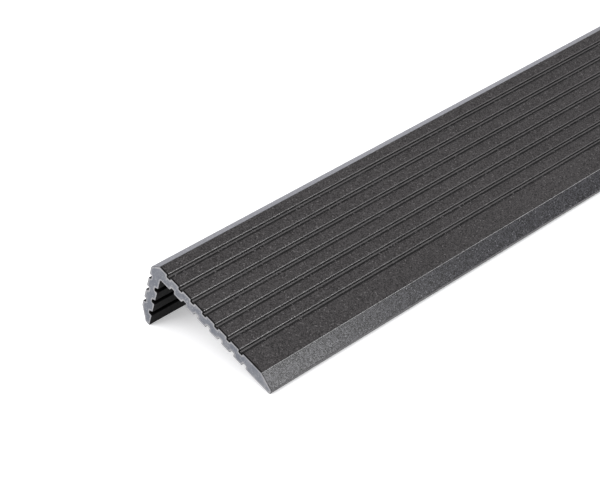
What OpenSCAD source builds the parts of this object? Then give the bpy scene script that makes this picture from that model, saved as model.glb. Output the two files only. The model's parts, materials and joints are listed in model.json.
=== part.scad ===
// Composite decking corner trim: one length of an extruded L section.
// Both outer faces carry a row of grooves and both inner faces a row of notches,
// the outer corner is chamfered and each leg ends in a bevelled toe.
// It lies as it does on a level floor: corner up, on the edges of its two toes.
// Across is X, the length is Y and up is Z.

/* [Stock] */
// Length of the piece
stock_length = 2200; // [200:10:4000]
// Thickness of both legs, between the grooves
wall = 7; // [6:0.1:8.5]

/* [Legs] */
// Width of the long leg, from the outer corner to its toe
long_leg = 80; // [60:0.5:120]
// Depth of the short leg, from the outer corner to its toe
short_leg = 39; // [36:0.5:80]
// Radius in the inner corner between the legs
inner_corner_round = 0.8; // [0.3:0.1:2]

/* [Outer corner] */
// Width of the corner chamfer, along the long leg
chamfer_across = 4.8; // [3:0.1:6]
// Depth of the corner chamfer, along the short leg
chamfer_down = 4.4; // [3:0.1:6]
// Radius where the chamfer runs into the short leg
chamfer_lower_round = 2.5; // [0.5:0.1:3]

/* [Toes] */
// Length of the bevel on each toe, along the leg
bevel_run = 7.6; // [5:0.1:9]
// Depth of the bevel on each toe, into the leg
bevel_drop = 4.2; // [2:0.1:4.8]
// Radius on the inner edge of the long toe
long_toe_round = 1.4; // [0.4:0.1:1.6]
// Radius on the inner edge of the short toe
short_toe_round = 0.6; // [0.3:0.1:1.6]

/* [Outer grooves] */
// Distance from one groove to the next, also that of the notches
pitch = 8; // [7:0.1:10]
// From the outer corner to the first groove on the long leg
long_first_groove = 10; // [9:0.1:14]
// From the outer corner to the first groove on the short leg
short_first_groove = 9.6; // [9:0.1:12]
// Width of a groove at the face
groove_mouth = 2.5; // [2.1:0.1:3.2]
// Width of a groove at its floor
groove_floor = 1.9; // [0.8:0.1:2]
// Depth of a groove
groove_depth = 1.5; // [0.8:0.1:1.8]
// Number of grooves on the long leg, which has as many notches inside
long_grooves = 7; // [1:1:8]
// Number of grooves on the short leg, which has as many notches inside
short_grooves = 3; // [1:1:3]

/* [Inner notches] */
// From the outer corner to the far wall of the first notch of each leg
first_notch = 15.9; // [14:0.1:17]
// Width of a notch at the face
notch_mouth = 2.6; // [1.8:0.1:3.2]
// Width of a notch at its floor
notch_floor = 1.6; // [0.8:0.1:1.7]
// Depth of a notch
notch_depth = 1.9; // [0.8:0.1:2.2]

/* [Edges] */
// Radius on the edges of the lands and of the bevels
edge_round = 0.5; // [0.2:0.05:0.6]
// Radius at the foot of the groove and notch walls
floor_round = 0.3; // [0.1:0.05:0.35]

/* [Hidden] */

// Most degrees that one step of a rounded corner turns
arc_step = 18;
// Least flat left between the last groove and the bevel
least_land = 2;

// A leg is drawn in its own two measures: along it from the outer corner, and
// in from its outer face. A corner is [along, in, radius].
function groove_count(leg, first, wanted) =
    min(wanted, floor((leg - bevel_run - least_land - groove_mouth - first) / pitch) + 1);

function groove_corners(start) = [
    [start, 0, edge_round],
    [start, groove_depth, floor_round],
    [start + groove_floor, groove_depth, floor_round],
    [start + groove_mouth, 0, edge_round]
];

function notch_corners(far_wall) = [
    [far_wall, wall, edge_round],
    [far_wall, wall - notch_depth, floor_round],
    [far_wall - notch_floor, wall - notch_depth, floor_round],
    [far_wall - notch_mouth, wall, edge_round]
];

function toe_corners(leg, toe_round) = [
    [leg - bevel_run, 0, edge_round],
    [leg, bevel_drop, edge_round],
    [leg, wall, toe_round]
];

// One leg, from its side of the chamfer out to the toe and back to the inner corner
function leg_corners(leg, first, grooves, chamfer, chamfer_round, toe_round) =
    let (last = groove_count(leg, first, grooves) - 1)
    concat(
        [[chamfer, 0, chamfer_round]],
        [for (k = [0 : last], corner = groove_corners(first + k * pitch)) corner],
        toe_corners(leg, toe_round),
        [for (k = [last : -1 : 0], corner = notch_corners(first_notch + k * pitch)) corner]
    );

function reversed(list) = [for (i = [len(list) - 1 : -1 : 0]) list[i]];

long_corners = leg_corners(long_leg, long_first_groove, long_grooves,
    chamfer_across, edge_round, long_toe_round);
short_corners = leg_corners(short_leg, short_first_groove, short_grooves,
    chamfer_down, chamfer_lower_round, short_toe_round);

// The whole outline with the long leg level and the outer corner at zero, [x, z, radius]
section_corners = concat(
    [for (c = long_corners) [c[0], -c[1], c[2]]],
    [[wall, -wall, inner_corner_round]],
    [for (c = reversed(short_corners)) [c[1], -c[0], c[2]]]
);

function unit(v) = v / norm(v);

function on_circle(centre, radius, angle) = centre + radius * [cos(angle), sin(angle)];

// Points of the arc that rounds the corner p between its neighbours a and b
function rounded(a, p, b, radius) =
    let (
        to_a = unit(a - p),
        to_b = unit(b - p),
        half = acos(to_a * to_b) / 2,
        centre = p + unit(to_a + to_b) * radius / sin(half),
        from = p + to_a * radius / tan(half) - centre,
        side = sign(from[0] * (p - centre)[1] - from[1] * (p - centre)[0]),
        sweep = side * (180 - 2 * half),
        start = atan2(from[1], from[0]),
        steps = ceil(abs(sweep) / arc_step)
    )
    [for (i = [0 : steps]) on_circle(centre, radius, start + sweep * i / steps)];

function xz(corner) = [corner[0], corner[1]];

section = let (n = len(section_corners)) [
    for (i = [0 : n - 1])
        each rounded(
            xz(section_corners[(i + n - 1) % n]),
            xz(section_corners[i]),
            xz(section_corners[(i + 1) % n]),
            section_corners[i][2])
];

// The floor touches the rounds on the inner edges of both toes
toe_span = [long_leg - long_toe_round, -(wall - long_toe_round)]
    - [wall - short_toe_round, -(short_leg - short_toe_round)];
rest_tilt = atan2(toe_span[1], toe_span[0])
    + asin((short_toe_round - long_toe_round) / norm(toe_span));

function turned(point, angle) = [
    point[0] * cos(angle) - point[1] * sin(angle),
    point[0] * sin(angle) + point[1] * cos(angle)
];

// The section as it lies, centred across and with its lowest point on the floor
tilted = [for (point = section) turned(point, -rest_tilt)];
across = [for (point = tilted) point[0]];
heights = [for (point = tilted) point[1]];
resting = [for (point = tilted) point - [(min(across) + max(across)) / 2, min(heights)]];

module corner_trim() {
    color("#47444a")
        translate([0, stock_length / 2, 0])
            rotate([90, 0, 0])
                linear_extrude(stock_length)
                    polygon(resting);
}

corner_trim();
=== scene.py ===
import json
from math import atan2, cos, degrees, pi, radians, sin

import bmesh
import bpy
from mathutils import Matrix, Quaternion, Vector
from mathutils.bvhtree import BVHTree


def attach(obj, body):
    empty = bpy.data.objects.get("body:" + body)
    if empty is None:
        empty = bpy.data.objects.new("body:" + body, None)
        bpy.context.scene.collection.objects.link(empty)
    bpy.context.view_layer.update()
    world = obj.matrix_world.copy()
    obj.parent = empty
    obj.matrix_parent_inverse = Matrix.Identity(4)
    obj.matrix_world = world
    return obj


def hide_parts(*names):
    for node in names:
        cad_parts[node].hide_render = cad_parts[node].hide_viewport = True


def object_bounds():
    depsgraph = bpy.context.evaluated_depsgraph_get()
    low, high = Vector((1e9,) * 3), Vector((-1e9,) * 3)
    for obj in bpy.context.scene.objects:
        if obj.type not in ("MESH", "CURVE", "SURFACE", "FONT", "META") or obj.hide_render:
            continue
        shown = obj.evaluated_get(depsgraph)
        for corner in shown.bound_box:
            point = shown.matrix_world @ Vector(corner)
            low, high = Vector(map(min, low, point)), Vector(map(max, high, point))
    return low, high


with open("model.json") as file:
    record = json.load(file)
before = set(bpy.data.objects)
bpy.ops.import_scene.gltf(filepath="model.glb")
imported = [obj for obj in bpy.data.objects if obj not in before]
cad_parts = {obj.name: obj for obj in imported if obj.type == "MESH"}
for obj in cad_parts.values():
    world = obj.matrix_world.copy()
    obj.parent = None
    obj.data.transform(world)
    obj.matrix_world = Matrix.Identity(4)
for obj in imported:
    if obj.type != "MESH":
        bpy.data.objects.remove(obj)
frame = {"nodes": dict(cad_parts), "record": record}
cad_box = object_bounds()

# The trim is one length of wood-plastic composite, pushed through a die in the shape of its section
# and sawn to length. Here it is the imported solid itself, welded, with its sawn ends' edges eased.
mm = 0.001
weld = 0.001 * mm
flat_within = radians(1)
straight = 0.99
arris = 0.2 * mm


def is_sawn(face):
    """Whether a face lies straight across the trim, as the saw leaves it."""
    return abs(face.normal.y) > straight


trim = bpy.data.objects.new("composite_trim", bpy.data.meshes.new("composite_trim"))
bpy.context.scene.collection.objects.link(trim)
form = bmesh.new()
form.from_mesh(frame["nodes"]["corner_trim"].data)
bmesh.ops.remove_doubles(form, verts=form.verts, dist=weld)
bmesh.ops.dissolve_limit(form, angle_limit=flat_within, verts=form.verts, edges=form.edges)
end_edges = dict.fromkeys(edge for face in form.faces if is_sawn(face) for edge in face.edges)
bmesh.ops.bevel(
    form, geom=list(end_edges), offset=arris, segments=2, profile=0.5, affect="EDGES", material=-1
)
bmesh.ops.recalc_face_normals(form, faces=form.faces)

# The sawn ends are painted paler in a rim round their edges as a highlight, and the saw melts the
# skin beside each end to a dark line. Each end is cut into small squares, whose corners keep their
# way in from the skin.
melted = 0.7 * mm
square = 0.5 * mm
near_end, far_end = cad_box[0].y, cad_box[1].y


def from_end(point):
    """How far a point of the trim is from the nearer sawn end."""
    return min(point.y - near_end, far_end - point.y)


def sawn_parts():
    """The corners, edges and faces that lie in the sawn ends."""
    faces = [face for face in form.faces if is_sawn(face)]
    edges = dict.fromkeys(edge for face in faces for edge in face.edges)
    verts = dict.fromkeys(vert for edge in edges for vert in edge.verts)
    return [*verts, *edges, *faces]


def cut_across(place):
    """Cuts the skin right round at a place along the trim."""
    bmesh.ops.bisect_plane(
        form, geom=form.verts[:] + form.edges[:] + form.faces[:], dist=weld,
        plane_co=(0, place, 0), plane_no=(0, 1, 0),
    )


# The outer face of a leg looks the other way than its seat, which rests on the deck board.
mounts = {mount["name"]: mount for mount in frame["record"]["mounts"]}
outward_of = {
    "short": -Vector(mounts["board_edge_seat"]["axis"]),
    "long": -Vector(mounts["board_top_seat"]["axis"]),
}
form.verts.index_update()
skin = BVHTree.FromPolygons(
    [vert.co for vert in form.verts],
    [[vert.index for vert in face.verts] for face in form.faces if not is_sawn(face)],
)
for outward in outward_of.values():
    places = [outward.dot(vert.co) for vert in form.verts]
    squares = int((max(places) - min(places)) / square)
    for cut in range(squares):
        bmesh.ops.bisect_plane(
            form, geom=sawn_parts(), dist=weld,
            plane_co=(max(places) - (cut + 0.5) * square) * outward, plane_no=outward,
        )
from_side = form.verts.layers.float.new("from_side")
for vert in form.verts:
    if from_end(vert.co) < weld:
        vert[from_side] = skin.find_nearest(vert.co)[3]
cut_across(near_end + melted)
cut_across(far_end - melted)

# The die leaves a smooth skin on the trim. Its outer faces are then sanded between the grooves, which
# takes the shine off the lands. The lips that face the toe keep a gloss and are painted pale as a
# highlight. On the long leg's groove floors a streak beside the wall nearer the corner is a painted
# highlight too, so each point there keeps its way from that wall.
toeward_of = {"long": -outward_of["short"], "short": -outward_of["long"]}
outer_face = {leg: max(way.dot(vert.co) for vert in form.verts) for leg, way in outward_of.items()}
toe_end = {leg: max(way.dot(vert.co) for vert in form.verts) for leg, way in toeward_of.items()}
chamfer_reach = 5 * mm
bevel_run = 7.6 * mm
steepest_bevel = cos(radians(37))
arris_highlight_depth = 0.1 * mm
edge_round = 0.5 * mm
floor_depth = 1 * mm
finished_depth = 5.6 * mm
finishes = [
    "sanded_land", "lip_painted_highlight", "arris_painted_highlight", "groove_floor", "groove_wall_painted_shade", "toe_bevel",
    "toe_nose", "die_skin", "inner_skin_painted_shade", "sawn_end", "melted_edge",
]

# A face's lean, in degrees, is 0 where it looks straight out of its leg and 90 where it looks
# towards the toe. It is below 0 where the face looks back towards the outer corner.
land_lean = (-53, 1)
lip_lean = (18, 84)
floor_lean = (-26, 26)
steepest_round = 60


def on_leg(point):
    """The leg that a point of the section is on, its depth there and its way from the corner."""
    below_long = outer_face["long"] - outward_of["long"].dot(point)
    below_short = outer_face["short"] - outward_of["short"].dot(point)
    if below_long < below_short:
        return "long", below_long, below_short
    return "short", below_short, below_long


def finish_of(face):
    """The finish of a face of the trim, from the way it looks and where it lies on its leg."""
    if is_sawn(face):
        return "sawn_end"
    middle = face.calc_center_median()
    leg, depth, along = on_leg(middle)
    outward, toeward = outward_of[leg].dot(face.normal), toeward_of[leg].dot(face.normal)
    if outward < -sin(flat_within) or depth > finished_depth:
        return "inner_skin_painted_shade"
    if along < chamfer_reach:
        return "die_skin"
    if toe_end[leg] - toeward_of[leg].dot(middle) < bevel_run:
        if depth < arris_highlight_depth:
            return "arris_painted_highlight"
        return "toe_bevel" if outward > steepest_bevel else "toe_nose"
    if from_end(middle) < melted:
        return "melted_edge"
    lean = degrees(atan2(toeward, outward))
    if depth < edge_round and land_lean[0] < lean < land_lean[1]:
        return "sanded_land"
    if depth < edge_round and lip_lean[0] < lean < lip_lean[1]:
        return "lip_painted_highlight"
    if depth > floor_depth and floor_lean[0] < lean < floor_lean[1]:
        return "groove_floor" if leg == "long" else "groove_wall_painted_shade"
    return "groove_wall_painted_shade" if abs(lean) > steepest_round else "die_skin"


crease = radians(30)
wall_places = {"long": [], "short": []}
for face in form.faces:
    leg, depth, along = on_leg(face.calc_center_median())
    if toeward_of[leg].dot(face.normal) > straight and depth < finished_depth:
        wall_places[leg].append(along)
    face.smooth = True
    face.material_index = finishes.index(finish_of(face))
for edge in form.edges:
    edge.smooth = edge.calc_face_angle(0) < crease
for vert in form.verts:
    leg, depth, along = on_leg(vert.co)
    if from_end(vert.co) > arris + weld:
        vert[from_side] = min((along - place for place in wall_places[leg] if place < along), default=0)

# Laid out flat for a baked finish, the skin is three lengths side by side with both sawn ends above
# them, as large as fits. Each length is slit where the short toe rests, and runs round from there.
lengths = 3
length = (far_end - near_end) / lengths
for cut in range(1, lengths):
    cut_across(near_end + cut * length)
ring = {vert for vert in form.verts if abs(vert.co.y - near_end - length) < weld}
slit = min((vert for vert in ring if vert.co.x < 0), key=lambda vert: vert.co.z)
stops = []
girth = 0.0
before, here = None, slit
while not stops or here is not slit:
    stops.append((here.co.xz, girth))
    beside = {edge.other_vert(here) for edge in here.link_edges} & ring - {before}
    before, here = here, min(beside, key=lambda vert: vert.co.x)
    girth += (here.co - before.co).length
gap = 3 * mm
sheet = lengths * (girth + gap) + gap
width = cad_box[1].x - cad_box[0].x
end_scale = (sheet - length - 3 * gap) / cad_box[1].z


def way_round(point):
    """How far round the section a point of the skin is from the slit."""
    return min(stops, key=lambda stop: (stop[0] - point.xz).length_squared)[1]


flat = form.loops.layers.uv.new("OFBake")
for face in form.faces:
    middle = face.calc_center_median()
    corners = [loop.vert.co for loop in face.loops]
    if from_end(middle) < arris:
        if middle.y < 0:
            across = [gap + end_scale * (corner.x - cad_box[0].x) for corner in corners]
        else:
            across = [2 * gap + end_scale * (width + cad_box[1].x - corner.x) for corner in corners]
        up = [length + 2 * gap + end_scale * corner.z for corner in corners]
    else:
        third = int((middle.y - near_end) / length)
        across = [way_round(corner) for corner in corners]
        if max(across) - min(across) > girth / 2:
            across = [place or girth for place in across]
        across = [gap + third * (girth + gap) + place for place in across]
        up = [gap + corner.y - near_end - third * length for corner in corners]
    for loop, u, v in zip(face.loops, across, up):
        loop[flat].uv = (u / sheet, v / sheet)

# Where the squares leave a face more than four corners, it is cut into well-shaped triangles.
bmesh.ops.triangulate(
    form, faces=[face for face in form.faces if len(face.verts) > 4],
    quad_method="BEAUTY", ngon_method="BEAUTY",
)
bmesh.ops.dissolve_degenerate(form, dist=weld, edges=form.edges)
form.to_mesh(trim.data)
form.free()
weighted = trim.modifiers.new("flat faces stay flat", "WEIGHTED_NORMAL")
weighted.keep_sharp = True

# The composite is fine wood flour in a dark resin, and a few paler flecks show in it. Each of its
# finishes is the same stuff, drawn smooth by the die, dulled by sanding or laid bare by the saw.


class Shade:
    """A shader socket as a value in an expression: arithmetic on it adds the Math node for it."""

    def __init__(self, tree, socket=None):
        self.tree = tree
        self.socket = socket

    def node(self, kind, settings, inputs, output=0):
        """Adds a node with its settings and then its inputs, and returns one of its outputs."""
        made = self.tree.nodes.new(kind)
        for name, value in settings.items():
            setattr(made, name, value)
        for name, value in inputs.items():
            if isinstance(value, Shade):
                self.tree.links.new(value.socket, made.inputs[name])
            else:
                made.inputs[name].default_value = value
        return Shade(self.tree, made.outputs[output])

    def maths(self, operation, first, second):
        return self.node("ShaderNodeMath", {"operation": operation}, {0: first, 1: second})

    def __add__(self, other):
        return self.maths("ADD", self, other)

    def __sub__(self, other):
        return self.maths("SUBTRACT", self, other)

    def __rsub__(self, other):
        return self.maths("SUBTRACT", other, self)

    def __mul__(self, other):
        return self.maths("MULTIPLY", self, other)

    __radd__ = __add__
    __rmul__ = __mul__

    def ramp(self, low, high):
        """0 below low, 1 above high and smooth between them."""
        settings = {"interpolation_type": "SMOOTHSTEP"}
        inputs = {"Value": self, "From Min": low, "From Max": high}
        return self.node("ShaderNodeMapRange", settings, inputs)

    def blend(self, none, full):
        """The colour none where this is 0 and the colour full where it is 1."""
        return self.node("ShaderNodeMix", {"data_type": "RGBA"}, {0: self, 6: none, 7: full}, 2)

    def stretched(self, size, stretch):
        """A place in millimetres, in steps of this size that are longer by stretch each way."""
        scale = [1 / (size * way) for way in stretch]
        return self.node("ShaderNodeMapping", {}, {"Vector": self, "Scale": scale})

    def clouds(self, size, stretch=(1, 1, 1), detail=2.0):
        """Soft patches about this many millimetres across."""
        inputs = {"Vector": self.stretched(size, stretch), "Scale": 1.0, "Detail": detail}
        return self.node("ShaderNodeTexNoise", {}, inputs)

    def grains(self, size, stretch=(1, 1, 1)):
        """Grains about this many millimetres across, each of a tone of its own."""
        inputs = {"Vector": self.stretched(size, stretch), "Scale": 1.0}
        return self.node("ShaderNodeTexVoronoi", {}, inputs, "Color")


# Sizes in millimetres, and how much longer a pattern is across, along and up than that.
grain_size = 0.36
fleck_size = 0.45
fleck_edge = (0.84, 0.92)
small_patch = 4
large_patch = 40
large_patch_stretch = (1, 3, 1)
line_size = 0.7
drawn = (1, 60, 1)
sawn = (40, 1, 1)
line_tone = 0.3
line_height = 0.4
patch_gloss = 0.1


def composite(
    name, dark, pale, fleck, roughness, relief, specular, contrast=1.0, patches=0.8, lines=drawn,
    sheen=0.1, highlight_band=None, painted_highlight=0,
):
    """A finish of the composite: dark and pale grains of wood and resin, with a few pale flecks.

    Contrast is that of the grains and patches that of the clouds over them. Lines is the way that
    the die or the saw drew its fine lines, and sheen is how much glossier the palest grains are than
    the darkest. Relief, in mm, is the height of the grains. A painted highlight makes the tone paler
    by the given amount in a band that starts between the first two distances from the side, in mm,
    and ends between the others.
    """
    material = bpy.data.materials.new(name)
    material.use_nodes = True
    tree = material.node_tree
    shader = tree.nodes["Principled BSDF"]
    metres = Shade(tree).node("ShaderNodeTexCoord", {}, {}, "Object")
    place = metres.node(
        "ShaderNodeVectorMath", {"operation": "SCALE"}, {"Vector": metres, "Scale": 1 / mm}
    )
    grain = place.grains(grain_size)
    small = place.clouds(small_patch, detail=3.0)
    patch = 0.5 * (small + place.clouds(large_patch, large_patch_stretch))
    line = place.clouds(line_size, lines)
    tone = 0.5 + contrast * (grain - 0.5) + patches * (patch - 0.5) + line_tone * (line - 0.5)
    # A painted highlight: the tone is paler in a band at given distances from the side.
    if highlight_band:
        across = place.node("ShaderNodeAttribute", {"attribute_name": "from_side"}, {}, "Fac")
        start, full, fading, end = (distance * mm for distance in highlight_band)
        tone = tone + painted_highlight * (across.ramp(start, full) * (1 - across.ramp(fading, end)) - 0.5)
    flecks = place.grains(fleck_size).ramp(*fleck_edge)
    colour = flecks.blend(tone.blend((*dark, 1), (*pale, 1)), (*fleck, 1))
    height = grain + line_height * line
    bump = height.node(
        "ShaderNodeBump", {}, {"Height": height, "Distance": relief * mm, "Strength": 1.0}
    )
    rough = roughness - sheen * (grain - 0.5) + patch_gloss * (patch - 0.5)
    for socket, value in {"Base Color": colour, "Roughness": rough, "Normal": bump}.items():
        tree.links.new(value.socket, shader.inputs[socket])
    shader.inputs["Specular IOR Level"].default_value = specular
    return material


looks = {
    "sanded_land": dict(
        dark=(0.0195, 0.018, 0.0184), pale=(0.0755, 0.0707, 0.0722), fleck=(0.145, 0.137, 0.139),
        contrast=1.7, patches=0.6, roughness=0.6, relief=0.03, specular=0.2,
    ),
    # The lips are glossy, and their pale colour is a painted highlight.
    "lip_painted_highlight": dict(
        dark=(0.052, 0.049, 0.05), pale=(0.145, 0.136, 0.139), fleck=(0.2, 0.19, 0.19),
        roughness=0.26, relief=0.01, specular=0.7,
    ),
    # The thin rounded edge where a land meets the bevel is painted pale as a highlight.
    "arris_painted_highlight": dict(
        dark=(0.3, 0.297, 0.3), pale=(0.58, 0.573, 0.58), fleck=(0.62, 0.62, 0.62),
        contrast=1.5, patches=1.6, roughness=0.4, relief=0.01, specular=0.5,
    ),
    # The groove floor is painted near-black as shade, with a pale streak near its wall as a painted
    # highlight.
    "groove_floor": dict(
        dark=(0.003, 0.0029, 0.003), pale=(0.17, 0.161, 0.1655), fleck=(0.17, 0.161, 0.1655),
        contrast=0.4, patches=0.4, roughness=0.42, relief=0.008, specular=0.35,
        highlight_band=(0.15, 0.4, 0.62, 0.95), painted_highlight=1.0,
    ),
    # Groove walls, and the short leg's groove floors, are painted near-black as shade.
    "groove_wall_painted_shade": dict(
        dark=(0.008, 0.0078, 0.008), pale=(0.02, 0.0195, 0.02), fleck=(0.03, 0.03, 0.03),
        patches=0.6, roughness=0.5, relief=0.004, specular=0.25,
    ),
    # The pale grains lean a little blue, a painted tint of the highlight on the bevel.
    "toe_bevel": dict(
        dark=(0.001, 0.001, 0.001), pale=(0.068, 0.067, 0.0755), fleck=(0.155, 0.155, 0.168),
        contrast=2.4, roughness=0.25, relief=0.035, specular=0.24, sheen=0.12,
    ),
    "toe_nose": dict(
        dark=(0.065, 0.0641, 0.0653), pale=(0.141, 0.1394, 0.143), fleck=(0.18, 0.18, 0.18),
        roughness=0.45, relief=0.01, specular=0.25,
    ),
    "die_skin": dict(
        dark=(0.014, 0.0136, 0.0145), pale=(0.03, 0.0291, 0.031), fleck=(0.04, 0.04, 0.04),
        roughness=0.34, relief=0.004, specular=0.5,
    ),
    # The inner faces are painted near-black as the shade inside the trim, which the glowing floor would
    # otherwise light.
    "inner_skin_painted_shade": dict(
        dark=(0.002, 0.00195, 0.002), pale=(0.009, 0.0088, 0.0093), fleck=(0.014, 0.014, 0.014),
        roughness=0.6, relief=0.004, specular=0.08,
    ),
    # The pale rim round each end is a painted highlight along its edges.
    "sawn_end": dict(
        dark=(0.115, 0.123, 0.146), pale=(0.315, 0.31, 0.316), fleck=(0.315, 0.315, 0.325),
        contrast=0.5, patches=2.6, roughness=0.6, relief=0.006, specular=0.4, lines=sawn,
        highlight_band=(0.0, 0.15, 0.6, 1.0), painted_highlight=0.7,
    ),
    "melted_edge": dict(
        dark=(0.004, 0.0039, 0.004), pale=(0.013, 0.0127, 0.013), fleck=(0.02, 0.02, 0.02),
        patches=1.0, roughness=0.7, relief=0.004, specular=0.1, lines=sawn,
    ),
}
for name in finishes:
    trim.data.materials.append(composite(name, **looks[name]))
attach(trim, "root")
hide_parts("corner_trim")

# The floor is a broad sheet of matt white board, lit a little from behind as a studio's light table
# is, so that shadows on it stay pale. It belongs to the stage.
floor_reach = 12.0
white = (0.88, 0.88, 0.89, 1)
glow = 0.45
matt = 0.9
floor = bpy.data.objects.new("floor", bpy.data.meshes.new("floor"))
bpy.context.scene.collection.objects.link(floor)
board = bmesh.new()
bmesh.ops.create_grid(board, x_segments=1, y_segments=1, size=floor_reach)
board.to_mesh(floor.data)
board.free()
paper = bpy.data.materials.new("white_board")
paper.use_nodes = True
paper_look = paper.node_tree.nodes["Principled BSDF"].inputs
paper_look["Base Color"].default_value = white
paper_look["Roughness"].default_value = matt
paper_look["Emission Color"].default_value = white
paper_look["Emission Strength"].default_value = glow
floor.data.materials.append(paper)

# The light is that of a pale room with five soft boxes: a broad one high in front, one high over the
# toe, one low behind the corner for the shine of its chamfer, a small bright one beyond the toe for
# that of the bevel, and one before the sawn end.
room_light = 0.4
world = bpy.data.worlds.new("pale room")
world.use_nodes = True
world.node_tree.nodes["Background"].inputs["Color"].default_value = (1.0, 1.0, 1.0, 1)
world.node_tree.nodes["Background"].inputs["Strength"].default_value = room_light
bpy.context.scene.world = world
lit_place = Vector((0, -0.95, 0.02))


def softbox(name, azimuth, elevation, distance, width, height, brightness, tint=(1, 1, 1)):
    """A rectangle of light that faces the near end. Azimuth 0 is along +X and 90 along +Y."""
    lamp = bpy.data.lights.new(name, "AREA")
    lamp.shape = "RECTANGLE"
    lamp.size, lamp.size_y = width, height
    lamp.energy = brightness * pi * width * height
    lamp.color = tint
    box = bpy.data.objects.new(name, lamp)
    bpy.context.scene.collection.objects.link(box)
    level = cos(radians(elevation))
    away = Vector(
        (level * cos(radians(azimuth)), level * sin(radians(azimuth)), sin(radians(elevation)))
    )
    box.location = lit_place + distance * away
    box.rotation_mode = "QUATERNION"
    box.rotation_quaternion = away.to_track_quat("Z", "Y")
    box.visible_camera = False


softbox("high_in_front", azimuth=-115, elevation=52, distance=3, width=2.6, height=3, brightness=2.65)
softbox("over_the_toe", azimuth=50, elevation=60, distance=3, width=1.2, height=1.2, brightness=1.4)
softbox(
    "behind_the_corner", azimuth=163, elevation=12, distance=1.6, width=1.9, height=0.7,
    brightness=1.68, tint=(0.93, 0.94, 1.1),
)
softbox(
    "beyond_the_toe", azimuth=27, elevation=27, distance=1.56, width=0.35, height=0.5, brightness=15
)
softbox(
    "before_the_end", azimuth=-90, elevation=28, distance=1.3, width=0.8, height=0.5, brightness=2.2
)

# The camera looks down on the near end from the toe side, tipped a little clockwise, with the
# long view of a portrait lens.
eye = Vector((0.53437, -1.50203, 0.46060))
aim = Vector((-0.01037, -1.03199, 0.02))
turn = Quaternion((0, 0, 1), radians(-5.0))
view = bpy.data.cameras.new("camera")
view.sensor_width = 36
view.lens = 112.23
camera = bpy.data.objects.new("camera", view)
bpy.context.scene.collection.objects.link(camera)
camera.location = eye
camera.rotation_mode = "QUATERNION"
camera.rotation_quaternion = (aim - eye).to_track_quat("-Z", "Y") @ turn
bpy.context.scene.camera = camera
bpy.context.scene.view_settings.view_transform = "Standard"
